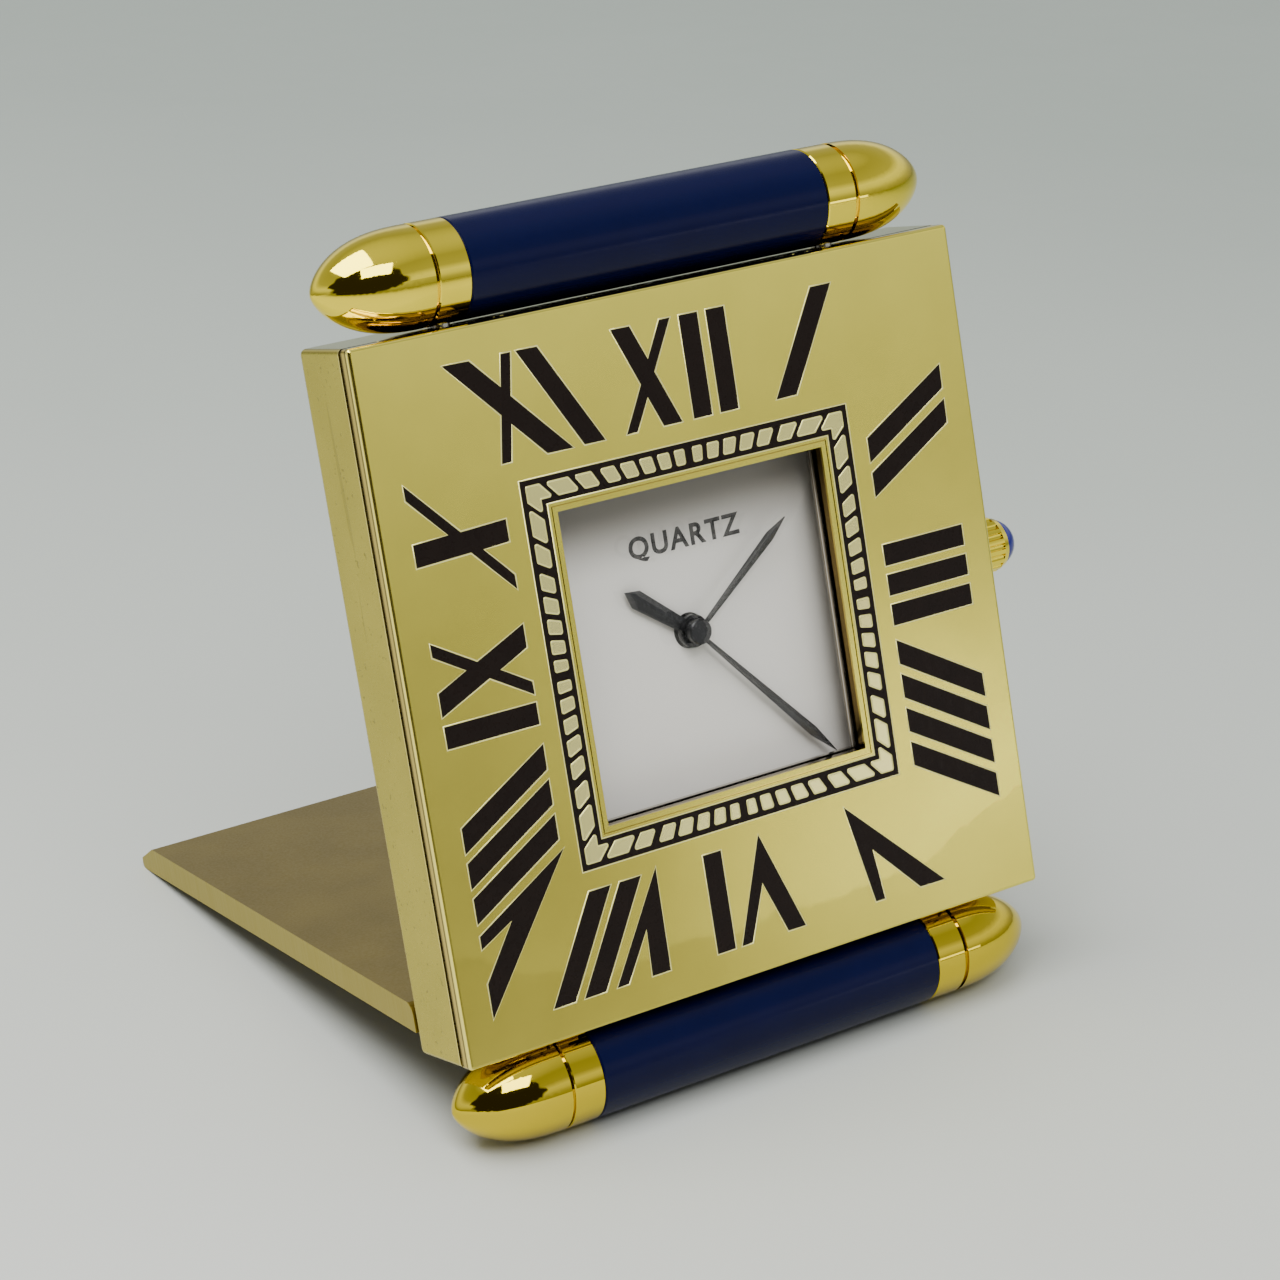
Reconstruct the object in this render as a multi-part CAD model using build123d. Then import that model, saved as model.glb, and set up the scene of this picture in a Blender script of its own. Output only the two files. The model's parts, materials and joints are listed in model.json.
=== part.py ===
from build123d import *
from math import asin, atan2, cos, degrees, hypot, pi, radians, sin, sqrt, tan
import os

# Travel alarm clock: a square case with an enamelled front plate, two scroll rolls, a crown and a
# full-width stand flap, around a battery movement. Millimetres.
#
# Everything is drawn in the case's own frame and only then leaned back and set on the table:
#   x  to the right as the dial is read,
#   y  depth, 0 on the front face and growing towards the back,
#   z  up the dial, with the hands' axis at x = z = 0.

# ---- driving dimensions ------------------------------------------------------------------------
CASE = 65.0              # side of the square front
DEPTH = 9.5              # front face to case back
PLATE = 1.3              # visible edge of the front plate
SHADOW_GAP = 0.45        # groove between plate and case body
WALL = 3.5               # case body wall

WINDOW = 14.55           # half side of the window
TRACK_IN, TRACK_OUT = 15.45, 18.0     # half sides of the minute track
TRACK_LINE_IN, TRACK_LINE_OUT = 0.6, 0.65
FRAME_LINE = 15.1        # half side of the fine line engraved round the window
HOUR_IN, HOUR_OUT = 19.8, 29.42       # the lines on which the hour strokes start and end
ENAMEL = 0.35            # depth of the enamel

ROLL_R = 4.65            # radius of the rolls
ROLL_GAP = 0.05          # between a roll and the case
ROLL_Y = 4.4             # depth of the roll axes
BARREL_HALF = 19.3       # lacquered barrel, half length
COLLAR = 3.2             # length of a collar
CAP = 10.3               # length of a bullet cap
CAP_NECK = 0.35          # groove between collar and cap

FLAP_T = 2.65            # thickness of the stand flap
FLAP_REACH = 56.0        # hinge axis to the flap's free edge
FLAP_OPEN = 82.0         # opening angle at its stop
FLAP_ROUND = 0.6         # rounding of the flap's free edge
FLAP_BEVEL = 2.6         # its free edge is bevelled towards the case over this length
HINGE_Z = -29.0
LUG_X, LUG_WIDTH = 20.0, 8.0

CROWN_Y = 6.4            # depth of the stem
CROWN_R = 2.75
CROWN_GRIP = 4.25        # fluted length
CABOCHON_R, CABOCHON_RISE = 2.4, 2.0
CROWN_TRAVEL = 1.0       # pulled out to arm the alarm

DIAL_Y = 4.6             # face of the dial
MAIN_Y = 5.85            # front face of the movement's main plate
MAIN_T = 0.6
BRIDGE_Y, BRIDGE_T = 7.95, 0.35
BACK_T = 1.0             # back plate

HOUR_ANGLE, MINUTE_ANGLE, ALARM_ANGLE = 307.4, 137.6, 53.0   # clockwise from twelve
HOUR_REACH, MINUTE_REACH, ALARM_REACH = 8.4, 20.2, 14.1

# ---- derived places ----------------------------------------------------------------------------
HALF = CASE / 2
BODY_Y = PLATE + SHADOW_GAP
BACK_Y = DEPTH - BACK_T
CAVITY = HALF - WALL
ROLL_Z = HALF + ROLL_GAP + ROLL_R
COLLAR_X = BARREL_HALF + COLLAR / 2
CAP_X = BARREL_HALF + COLLAR
HINGE_LIFT = 0.1                       # closed flap to case back
HINGE_Y = DEPTH + HINGE_LIFT + FLAP_T / 2
FLAP_END = 1.4                         # hinge axis to the flap's stop face
CRYSTAL_Y, CRYSTAL_T = 1.0, 0.8
REHAUT_BACK = 2.4
SEAT = 16.0                            # half side of the crystal's seat
CAVITY_HANDS = 20.4                    # half side of the space in which the hands turn

# motion works and going train: modules, teeth and arbor places (x, z)
M_FINE, M_HOUR, M_ROTOR = 0.25, 0.24, 0.2
CANNON_T, MINUTE_T = 12, 36
HOUR_PINION_T, HOUR_T = 10, 40
CENTRE_T, INTER_PINION_T = 40, 8
INTER_T, ROTOR_T = 36, 6
SET_T = 12
STEM_T, CONTRATE_T = 8, 60
CONTRATE_R = 7.0
STEM_PITCH_R = CONTRATE_R * STEM_T / CONTRATE_T


def polar(radius, angle):
    """Point at an angle counter-clockwise from +x, in the dial's plane."""
    return radius * cos(radians(angle)), radius * sin(radians(angle))


MINUTE_AT_ANGLE = 225.0
INTER_AT_ANGLE = 135.0
TRAIN_STEP = M_FINE * (CANNON_T + MINUTE_T) / 2
ROTOR_STEP = M_ROTOR * (INTER_T + ROTOR_T) / 2
MINUTE_AT = polar(TRAIN_STEP, MINUTE_AT_ANGLE)
SET_AT = polar(TRAIN_STEP + M_FINE * (MINUTE_T + SET_T) / 2, MINUTE_AT_ANGLE)
INTER_AT = polar(TRAIN_STEP, INTER_AT_ANGLE)
ROTOR_AT = polar(TRAIN_STEP + ROTOR_STEP, INTER_AT_ANGLE)
CELL_AT, CELL_R = (12.5, 12.5), 5.8
POST_AT = [(-12.0, 0.0), (0.0, -11.0), (1.5, 11.5)]      # posts of the train bridge
STATOR_POST_AT = [(-16.3, 7.5), (-5.3, 11.5)]
PLATE_POST_AT = [(sx * 26.5, sz * 14.0) for sx in (-1, 1) for sz in (-1, 1)]
BOSS, BOSS_AT = 4.4, 26.9                                # corner bosses of the case body
BACK_SCREW_AT = [(sx * BOSS_AT, sz * BOSS_AT) for sx in (-1, 1) for sz in (-1, 1)]


# ---- drawing helpers ---------------------------------------------------------------------------
def slab(sketch, front, back):
    """A sketch of the dial's plane (x to the right, z up), thick from one depth to another."""
    plane = Plane(origin=(0, back, 0), x_dir=(1, 0, 0), z_dir=(0, -1, 0))
    return extrude(plane * sketch, amount=back - front, dir=(0, -1, 0))


def disc(at, radius, front, back, bore=0.0):
    sketch = Pos(*at) * Circle(radius)
    if bore:
        sketch -= Pos(*at) * Circle(bore)
    return slab(sketch, front, back)


def square(half, front, back, inner=0.0, corner=0.0):
    side = 2 * half
    sketch = RectangleRounded(side, side, corner) if corner else Rectangle(side, side)
    if inner:
        sketch -= Rectangle(2 * inner, 2 * inner)
    return slab(sketch, front, back)


def block(x0, x1, y0, y1, z0, z1):
    return Pos((x0 + x1) / 2, (y0 + y1) / 2, (z0 + z1) / 2) * Box(x1 - x0, y1 - y0, z1 - z0)


def rod_x(x0, x1, y, z, radius):
    """A round bar along x."""
    return Pos((x0 + x1) / 2, y, z) * Rot(0, 90, 0) * Cylinder(radius, x1 - x0)


def rod_z(z0, z1, x, y, radius):
    return Pos(x, y, (z0 + z1) / 2) * Cylinder(radius, z1 - z0)


def gear(teeth, module, at, front, back, phase=0.0, bore=0.0):
    """A wheel with straight-flanked teeth, one of them pointing at the phase angle."""
    pitch = 2 * pi / teeth
    root, tip = module * (teeth / 2 - 1.2), module * (teeth / 2 + 0.8)
    outline = []
    for tooth in range(teeth):
        middle = radians(phase) + tooth * pitch
        for radius, share in ((root, -0.27), (tip, -0.1), (tip, 0.1), (root, 0.27)):
            angle = middle + share * pitch
            outline.append((radius * cos(angle), radius * sin(angle)))
    sketch = Pos(*at) * Polygon(*outline, align=None)
    if bore:
        sketch -= Pos(*at) * Circle(bore)
    return slab(sketch, front, back)


def facing(teeth, angle):
    """Phase that puts a gap, not a tooth, at an angle."""
    return angle + 180.0 / teeth


def round_edges(part, axis, radius):
    return fillet(part.edges().filter_by(axis), radius)


# ---- enamel ------------------------------------------------------------------------------------
BAR = 2.15               # width of an upright stroke
LEANING_BAR = 2.45       # the same stroke measured along the side when it leans
HAIR = 1.33              # width of a thin stroke
LEAN = tan(radians(30))


def bar(outer, inner, width=BAR):
    """A stroke between the two lines, given by where its middle meets them."""
    half = width / 2
    return [(outer - half, HOUR_OUT), (outer + half, HOUR_OUT),
            (inner + half, HOUR_IN), (inner - half, HOUR_IN)]


def vee(thick, hair, apex, crotch, width=BAR, thin=HAIR):
    """A V: where its thick and thin strokes meet the outer line, its apex and its inner corner."""
    half = width / 2
    return [(thick - half, HOUR_OUT), (thick + half, HOUR_OUT), crotch,
            (hair - thin / 2, HOUR_OUT), (hair + thin / 2, HOUR_OUT), (apex, HOUR_IN - 0.4)]


def hour_strokes():
    """Hour: side of the square (0 top, then clockwise), lean of its centre line, strokes.

    Offsets are measured along the side from the centre line, which points at the hands' axis.
    """
    two = [-1.67, 1.67]
    three = [-2.98, -0.08, 2.83]
    four = [-5.05, -1.73, 1.6, 4.95]
    seven = [1.75, 5.05]
    eight = [-1.5, 1.75, 5.0]
    return {
        12: (0, 0, [bar(-5.2, -1.1), bar(-0.35, -5.6, 1.28), bar(2.18, 2.18), bar(5.13, 5.13)]),
        1: (0, 1, [bar(0.1, 0.1, LEANING_BAR)]),
        2: (1, -1, [bar(t + 0.2, t, LEANING_BAR) for t in two]),
        3: (1, 0, [bar(t, t) for t in three]),
        4: (1, 1, [bar(t, t, LEANING_BAR) for t in four]),
        5: (2, -1, [vee(-3.05, 3.25, 0.2, (0.4, 24.4), 3.05, 1.2)]),
        6: (2, 0, [vee(-3.9, 1.85, -1.12, (-0.8, 24.2)), bar(4.18, 4.18)]),
        7: (2, 1, [vee(-5.5, -1.25, -0.85, (-2.05, 25.0), thin=1.4)]
            + [bar(t, t, LEANING_BAR) for t in seven]),
        8: (3, -1, [vee(-9.9, -4.45, -3.95, (-5.3, 26.0), 3.4)]
            + [bar(t - 0.07, t - 0.2, 2.5) for t in eight]),
        9: (3, 0, [bar(-2.62, -2.65), bar(0.32, 4.5, 2.3), bar(5.3, -0.35, HAIR)]),
        10: (3, 1, [bar(-3.3, 2.6), bar(2.35, -2.1, 1.45)]),
        11: (0, -1, [bar(-5.35, -1.75, 2.85), bar(-0.2, -7.4, 1.12), bar(1.9, 1.9, 2.35)]),
    }


def hours_sketch():
    whole = Sketch()
    for side, lean, strokes in hour_strokes().values():
        for stroke in strokes:
            leaning = [(x + lean * LEAN * z, z) for x, z in stroke]
            whole += Rot(0, 0, -90 * side) * Polygon(*leaning, align=None)
    return whole


def track_cells():
    """The sixty gold cells of one minute each, between the track's two lines."""
    low, high = TRACK_IN + TRACK_LINE_IN, TRACK_OUT - TRACK_LINE_OUT
    thin, thick = 0.35, 0.5                # half widths of the dividers
    cells = []
    for side in range(4):
        turn = Rot(0, 0, -90 * side)
        for minute in range(-7, 7):
            left, right = tan(radians(6 * minute)), tan(radians(6 * minute + 6))
            a = thick if minute % 5 == 0 else thin
            b = thick if (minute + 1) % 5 == 0 else thin
            cell = Polygon((left * low + a, low), (right * low - b, low),
                           (right * high - b, high), (left * high + a, high), align=None)
            cells.append(turn * fillet(cell.vertices(), 0.16))
        edge = tan(radians(42))
        corner = Polygon((edge * low + thin, low), (edge * high + thin, high), (high, high),
                         (high, edge * high + thin), (low, edge * low + thin), (low, low), align=None)
        cells.append(turn * fillet(corner.vertices(), 0.14))
    return Sketch() + cells


# ---- case --------------------------------------------------------------------------------------
def front_plate(hours, track):
    plate = round_edges(square(HALF, 0, PLATE), Axis.Y, 0.4)
    plate = fillet(plate.faces().sort_by(Axis.Y)[0].edges(), 0.35)
    plate += square(HALF - 0.9, PLATE, BODY_Y, inner=CAVITY)
    plate += square(HALF - 2.1, BODY_Y, BODY_Y + 0.6, inner=CAVITY)
    plate += square(SEAT + 2.5, PLATE, REHAUT_BACK)
    plate -= square(WINDOW, 0, CRYSTAL_Y)
    plate -= square(FRAME_LINE + 0.06, 0, 0.08, inner=FRAME_LINE - 0.06)
    plate -= square(SEAT, CRYSTAL_Y, REHAUT_BACK)
    for at in PLATE_POST_AT:
        plate += disc(at, 1.8, PLATE, DIAL_Y)
        plate -= disc(at, 0.75, 2.2, DIAL_Y)
    plate -= slab(hours, 0, ENAMEL)
    return plate - slab(track, 0, ENAMEL)


def case_body():
    body = square(HALF, BODY_Y, DEPTH)
    body = round_edges(body, Axis.Y, 0.5)
    body = fillet(body.faces().sort_by(Axis.Y)[-1].edges(), 0.8)
    body -= square(CAVITY, BODY_Y, DEPTH)
    body -= square(HALF - 2.05, BODY_Y, BODY_Y + 0.65)
    body -= square(HALF - 2.05, BACK_Y, DEPTH)
    reach = CAVITY - BOSS / 2
    for sx in (-1, 1):
        for sz in (-1, 1):
            body += slab(Pos(sx * reach, sz * reach) * Rectangle(BOSS, BOSS), 4.0, BACK_Y)
            body -= disc((sx * BOSS_AT, sz * BOSS_AT), 0.8, 4.6, BACK_Y)
    for sx in (-1, 1):
        for sz in (-1, 1):
            low, high = sorted((sz * (CAVITY - 0.1), sz * (HALF + 0.1)))
            body -= rod_z(low, high, sx * COLLAR_X, ROLL_Y, 1.05)
            low, high = sorted((sz * (CAVITY - 0.1), sz * (CAVITY + 1.3)))
            body -= rod_z(low, high, sx * COLLAR_X, ROLL_Y, 2.05)
    return body - rod_x(CAVITY - 0.1, HALF + 0.1, CROWN_Y, 0, 1.3)


def roll_screws(sign):
    """Two screws from inside the case into the collars of one roll."""
    screws = []
    for sx in (-1, 1):
        low, high = sorted((sign * CAVITY, sign * (CAVITY + 1.2)))
        head = rod_z(low, high, sx * COLLAR_X, ROLL_Y, 1.95)
        low, high = sorted((sign * (CAVITY - 0.1), sign * (CAVITY + 0.5)))
        head -= block(sx * COLLAR_X - 2, sx * COLLAR_X + 2, ROLL_Y - 0.25, ROLL_Y + 0.25, low, high)
        low, high = sorted((sign * (CAVITY + 1.2), sign * (ROLL_Z - 2.0)))
        screws.append(head + rod_z(low, high, sx * COLLAR_X, ROLL_Y, 1.0))
    return Compound(screws)


def back_plate():
    plate = square(HALF - 2.1, BACK_Y, DEPTH, corner=0.6)
    for at in BACK_SCREW_AT:
        plate -= disc(at, 0.85, BACK_Y, DEPTH)
        plate -= disc(at, 1.65, DEPTH - 0.55, DEPTH)
    plate -= disc(SET_AT, 4.15, BACK_Y, DEPTH)
    plate -= disc(CELL_AT, 6.4, BACK_Y, DEPTH)
    plate -= disc(CELL_AT, 6.95, BACK_Y + 0.1, DEPTH)
    plate -= disc(CELL_AT, 7.05, BACK_Y + 0.4, DEPTH)
    for sx in (-1, 1):
        plate -= block(sx * LUG_X - 3, sx * LUG_X + 3, BACK_Y - 1, DEPTH + 1, HINGE_Z - 0.7, HINGE_Z + 0.7)
    return plate


def screw(at, head_r, head_back, head_t, shank_r, tip_y, slot=0.22):
    """A slotted screw along y with its head towards the back."""
    head = disc(at, head_r, head_back - head_t, head_back)
    notch = Pos(*at) * Rectangle(2 * head_r + 0.2, slot * 2)
    head -= slab(notch, head_back - 0.3, head_back + 0.1)
    return head + disc(at, shank_r, tip_y, head_back - head_t)


# ---- rolls -------------------------------------------------------------------------------------
def roll_barrel(sign):
    barrel = rod_x(-BARREL_HALF, BARREL_HALF, ROLL_Y, sign * ROLL_Z, ROLL_R)
    barrel = chamfer(barrel.edges().filter_by(GeomType.CIRCLE), 0.18)
    return barrel - rod_x(-BARREL_HALF, BARREL_HALF, ROLL_Y, sign * ROLL_Z, 1.55)


def roll_collar(side, sign):
    x0, x1 = sorted((side * BARREL_HALF, side * CAP_X))
    collar = rod_x(x0, x1, ROLL_Y, sign * ROLL_Z, ROLL_R)
    collar = chamfer(collar.edges().filter_by(GeomType.CIRCLE), 0.1)
    collar -= rod_x(x0, x1, ROLL_Y, sign * ROLL_Z, 1.5)
    low, high = sorted((sign * (HALF - 1), sign * (ROLL_Z - 2.0)))
    return collar - rod_z(low, high, side * COLLAR_X, ROLL_Y, 1.0)


def roll_cap(side, sign):
    """A bullet: a curve that leaves the neck straight and closes in a blunt point."""
    length = CAP - CAP_NECK
    shares = [1 - (1 - step / 14) ** 2 for step in range(15)]
    curve = [(CAP_NECK + s * length, ROLL_R * (1 - s ** 2.6) ** 0.68) for s in shares]
    outer = Spline(*curve, tangents=[(1, 0), (0, -1)])
    rest = Polyline((CAP, 0), (0, 0), (0, ROLL_R - 0.4), (CAP_NECK, ROLL_R - 0.4), (CAP_NECK, ROLL_R))
    profile = make_face([outer, rest])
    cap = revolve(profile, Axis.X)
    cap -= rod_x(0, 3.5, 0, 0, 1.5)
    place = Pos(side * CAP_X, ROLL_Y, sign * ROLL_Z)
    return place * (cap if side > 0 else Rot(0, 0, 180) * cap)


def tie_rod(sign):
    return rod_x(-CAP_X - 3.5, CAP_X + 3.5, ROLL_Y, sign * ROLL_Z, 1.5)


# ---- stand -------------------------------------------------------------------------------------
def flap_profile():
    """The closed flap's section: a runs up from the hinge axis, b out from the case."""
    half = FLAP_T / 2
    tilt = radians(FLAP_OPEN)
    face = (-sin(tilt), -cos(tilt))                       # direction of the stop face
    start = (-sqrt(FLAP_END ** 2 - half ** 2), -half)
    on_face = (FLAP_END * face[0], FLAP_END * face[1])
    heel = ((-FLAP_END - half * cos(tilt)) / sin(tilt), half)
    middle_angle = (atan2(start[1], start[0]) + atan2(on_face[1], on_face[0])) / 2
    middle = (FLAP_END * cos(middle_angle), FLAP_END * sin(middle_angle))
    lines = [ThreePointArc(start, middle, on_face),
             Polyline(on_face, heel, (FLAP_REACH - FLAP_ROUND, half)),
             ThreePointArc((FLAP_REACH - FLAP_ROUND, half),
                           (FLAP_REACH - FLAP_ROUND * (1 - cos(pi / 4)),
                            half - FLAP_ROUND * (1 - sin(pi / 4))),
                           (FLAP_REACH, half - FLAP_ROUND)),
             Polyline((FLAP_REACH, half - FLAP_ROUND), (FLAP_REACH, half - FLAP_ROUND - 0.5),
                      (FLAP_REACH - FLAP_BEVEL, -half), start)]
    return make_face(lines)


def open_flap(part):
    """Turns a piece drawn closed, about the hinge axis, to the open stop."""
    return part.moved(Pos(0, HINGE_Y, HINGE_Z) * Rot(-FLAP_OPEN, 0, 0))


def stand_flap():
    """Drawn with its hinge axis on x, closed (up along z), then opened."""
    side_on = Plane(origin=(-HALF, 0, 0), x_dir=(0, 0, 1), z_dir=(1, 0, 0))
    flap = extrude(side_on * mirror(flap_profile(), Plane.XZ), amount=CASE)
    for sx in (-1, 1):
        notch = LUG_WIDTH / 2 + 0.15
        flap -= block(sx * LUG_X - notch, sx * LUG_X + notch, -3, 3, -3, 1.65)
        flap -= rod_x(sx * LUG_X - 7.5, sx * LUG_X + 7.5, 0, 0, 0.6)
    return open_flap(flap)


def hinge_pins():
    return open_flap(Compound([rod_x(sx * LUG_X - 7.5, sx * LUG_X + 7.5, 0, 0, 0.6) for sx in (-1, 1)]))


def hinge_lug(side):
    x0, x1 = side * LUG_X - LUG_WIDTH / 2, side * LUG_X + LUG_WIDTH / 2
    lug = rod_x(x0, x1, HINGE_Y, HINGE_Z, 1.3)
    lug += block(x0, x1, DEPTH, HINGE_Y, HINGE_Z - 1.15, HINGE_Z + 1.15)
    lug += block(x0 + 1, x1 - 1, BACK_Y, DEPTH, HINGE_Z - 0.7, HINGE_Z + 0.7)
    return lug - rod_x(x0, x1, HINGE_Y, HINGE_Z, 0.63)


# ---- dial and hands ----------------------------------------------------------------------------
def dial():
    plate = square(21.0, DIAL_Y, DIAL_Y + 0.3) - disc((0, 0), 1.7, DIAL_Y, DIAL_Y + 0.3)
    for sx in (-1, 1):
        plate += disc((sx * 17.0, -sx * 17.0), 0.4, DIAL_Y + 0.3, MAIN_Y + 0.3)
    return plate


def hand(angle, reach, hub_r, bore, front, root, widest):
    """A lance: slender at the hub, widest near the tip, with a ridge along its middle."""
    thick, shoulder = 0.22, 0.83 * reach
    outline = Polygon((-root / 2, 0), (-widest / 2, shoulder), (0, reach), (widest / 2, shoulder),
                      (root / 2, 0), align=None)
    blade = slab(outline, front, front + thick)
    roof = Plane.XY * Polygon((-widest * 0.62, front + thick), (widest * 0.62, front + thick), (0, front),
                              align=None)
    blade = blade & extrude(roof, amount=reach, dir=(0, 0, 1))
    blade += disc((0, 0), hub_r, front - 0.1, front + thick + 0.12)
    blade -= disc((0, 0), bore, front - 0.2, front + thick + 0.2)
    return Rot(0, angle, 0) * blade


def hub_cap(hub_r, front):
    """Closes the front hand's hub over the end of its arbor."""
    return chamfer(disc((0, 0), hub_r, front - 0.2, front).edges().group_by(Axis.Y)[0], 0.12)


# ---- movement ----------------------------------------------------------------------------------
def main_plate():
    plate = square(20.0, MAIN_Y, MAIN_Y + MAIN_T) + square(20.0, DIAL_Y + 0.3, MAIN_Y, inner=18.6)
    plate -= disc((0, 0), 0.8, MAIN_Y, MAIN_Y + MAIN_T)
    for at in (MINUTE_AT, INTER_AT, ROTOR_AT):
        plate -= disc(at, 0.25, MAIN_Y, MAIN_Y + MAIN_T)
    plate -= disc(SET_AT, 0.65, MAIN_Y, MAIN_Y + MAIN_T)
    plate -= disc(CELL_AT, 6.4, DIAL_Y, MAIN_Y + MAIN_T)
    plate -= block(5.4, 21, DIAL_Y, MAIN_Y + MAIN_T + 0.1, -1.4, 1.4)
    plate -= block(-18, -5, DIAL_Y + 0.3, MAIN_Y + MAIN_T + 0.1, 14.9, 18.2)
    for sx in (-1, 1):
        plate -= disc((sx * 17.0, -sx * 17.0), 0.4, MAIN_Y, MAIN_Y + MAIN_T)
    for at in STATOR_POST_AT:
        plate += disc(at, 0.8, MAIN_Y + MAIN_T, 7.2)
    for at in POST_AT:
        plate += disc(at, 1.0, MAIN_Y + MAIN_T, BRIDGE_Y)
        plate -= disc(at, 0.4, MAIN_Y + MAIN_T, BRIDGE_Y)
    return plate


def train_bridge():
    outline = Polygon((-13.6, -1.6), (-9.6, 10.2), (1.0, 13.2), (3.2, 12.6), (4.5, 4), (4.5, -4),
                      (1.4, -12.6), (-1.4, -12.6), align=None)
    bridge = slab(fillet(outline.vertices(), 1.0), BRIDGE_Y, BRIDGE_Y + BRIDGE_T)
    for at in POST_AT:
        bridge -= disc(at, 0.45, BRIDGE_Y, BRIDGE_Y + BRIDGE_T)
    for at, radius in (((0, 0), 0.45), (ROTOR_AT, 0.25)):
        bridge -= disc(at, radius, BRIDGE_Y, BRIDGE_Y + BRIDGE_T)
    return bridge


def bridge_screws():
    return Compound([screw(at, 0.9, BRIDGE_Y + BRIDGE_T + 0.15, 0.15, 0.4, MAIN_Y + MAIN_T + 0.3, slot=0.1)
                     for at in POST_AT])


def centre_wheel():
    """Centre wheel, pipe and cannon pinion: carries the minute hand."""
    wheel = gear(CENTRE_T, M_FINE, (0, 0), 6.5, 6.75, phase=INTER_AT_ANGLE, bore=0.45)
    pipe = disc((0, 0), 0.75, 3.15, 6.75, bore=0.45)
    cannon = gear(CANNON_T, M_FINE, (0, 0), 5.42, 5.68, facing(CANNON_T, MINUTE_AT_ANGLE), bore=0.45)
    return wheel + pipe + cannon


def hour_wheel():
    wheel = gear(HOUR_T, M_HOUR, (0, 0), 5.0, 5.3, phase=MINUTE_AT_ANGLE, bore=0.8)
    return wheel + disc((0, 0), 1.2, 3.72, 5.0, bore=0.8)


def minute_wheel():
    back_to_centre = MINUTE_AT_ANGLE - 180
    wheel = gear(MINUTE_T, M_FINE, MINUTE_AT, 5.42, 5.68, back_to_centre)
    wheel += gear(HOUR_PINION_T, M_HOUR, MINUTE_AT, 5.0, 5.3, facing(HOUR_PINION_T, back_to_centre))
    return wheel + disc(MINUTE_AT, 0.4, 4.98, 5.75) + disc(MINUTE_AT, 0.2, 5.75, MAIN_Y + MAIN_T)


def intermediate_wheel():
    back_to_centre = INTER_AT_ANGLE - 180
    wheel = gear(INTER_T, M_ROTOR, INTER_AT, 6.88, 7.06, INTER_AT_ANGLE)
    wheel += gear(INTER_PINION_T, M_FINE, INTER_AT, 6.5, 6.75, facing(INTER_PINION_T, back_to_centre))
    return wheel + disc(INTER_AT, 0.4, 6.5, 7.1) + disc(INTER_AT, 0.2, MAIN_Y, 6.5)


def rotor():
    turn_back = INTER_AT_ANGLE - 180
    body = gear(ROTOR_T, M_ROTOR, ROTOR_AT, 6.84, 7.12, facing(ROTOR_T, turn_back))
    return body + disc(ROTOR_AT, 1.3, 7.2, 7.6) + disc(ROTOR_AT, 0.2, MAIN_Y, BRIDGE_Y + BRIDGE_T)


COIL_Y, COIL_Z, COIL_X = 7.0, 16.5, (-16.2, -6.2)


def stator():
    """A flat U whose closed end surrounds the rotor and whose legs hold the coil's core."""
    outline = Rectangle(13.6, 4.6, align=(Align.MIN, Align.MIN)).moved(Location((-17.6, 5.0)))
    outline += Rectangle(2.6, 13.2, align=(Align.MIN, Align.MIN)).moved(Location((-17.6, 5.0)))
    outline += Rectangle(2.6, 9.2, align=(Align.MIN, Align.MIN)).moved(Location((-6.6, 9.0)))
    outline -= Pos(*ROTOR_AT) * Circle(1.55)
    outline -= Circle(8.35)
    return slab(outline, 7.2, 7.6)


def coil_core():
    return block(-17.6, -4.8, 6.75, 7.2, COIL_Z - 0.6, COIL_Z + 0.6)


def drive_coil():
    x0, x1 = COIL_X[0] + 1.3, COIL_X[1] - 0.6
    winding = rod_x(x0, x1, COIL_Y, COIL_Z, 1.25)
    return winding - block(x0 - 1, x1 + 1, 6.7, 7.25, COIL_Z - 0.65, COIL_Z + 0.65)


def circuit_board():
    board = slab(Pos(10.5, -13.0) * RectangleRounded(15.0, 9.0, 0.8), 6.45, 6.9)
    board -= disc((4.5, -16.0), 0.6, 6.45, 6.9)
    chip = slab(Pos(8.5, -12.5) * RectangleRounded(3.6, 3.6, 0.3), 6.9, 7.6)
    return board + chip


def resonator():
    can = rod_x(12.0, 17.5, 7.6, -14.8, 0.7)
    return fillet(can.edges().filter_by(GeomType.CIRCLE), 0.2)


def button_cell():
    can = disc(CELL_AT, CELL_R, 5.6, 8.2)
    can = fillet(can.faces().sort_by(Axis.Y)[-1].edges(), 0.3)
    return can + disc(CELL_AT, 4.6, 5.3, 5.6)


def cell_contacts():
    """A sprung strip under the cell and a tab at its side."""
    under = slab(Pos(12.5, 12.5) * Rectangle(8.0, 1.6), 5.1, 5.3)
    tab = block(18.36, 18.6, 5.6, 8.0, 11.0, 14.0)
    return Compound([under, tab])


def battery_hatch():
    hatch = disc(CELL_AT, 7.0, BACK_Y + 0.4, DEPTH)
    hatch = chamfer(hatch.faces().sort_by(Axis.Y)[-1].edges(), 0.12)
    hatch += disc(CELL_AT, 6.3, 8.3, BACK_Y + 0.4)
    return hatch - slab(Pos(*CELL_AT) * SlotOverall(9.0, 1.3), DEPTH - 0.45, DEPTH)


def hatch_seal():
    return disc(CELL_AT, 6.95, BACK_Y + 0.1, BACK_Y + 0.4, bore=6.32)


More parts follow.
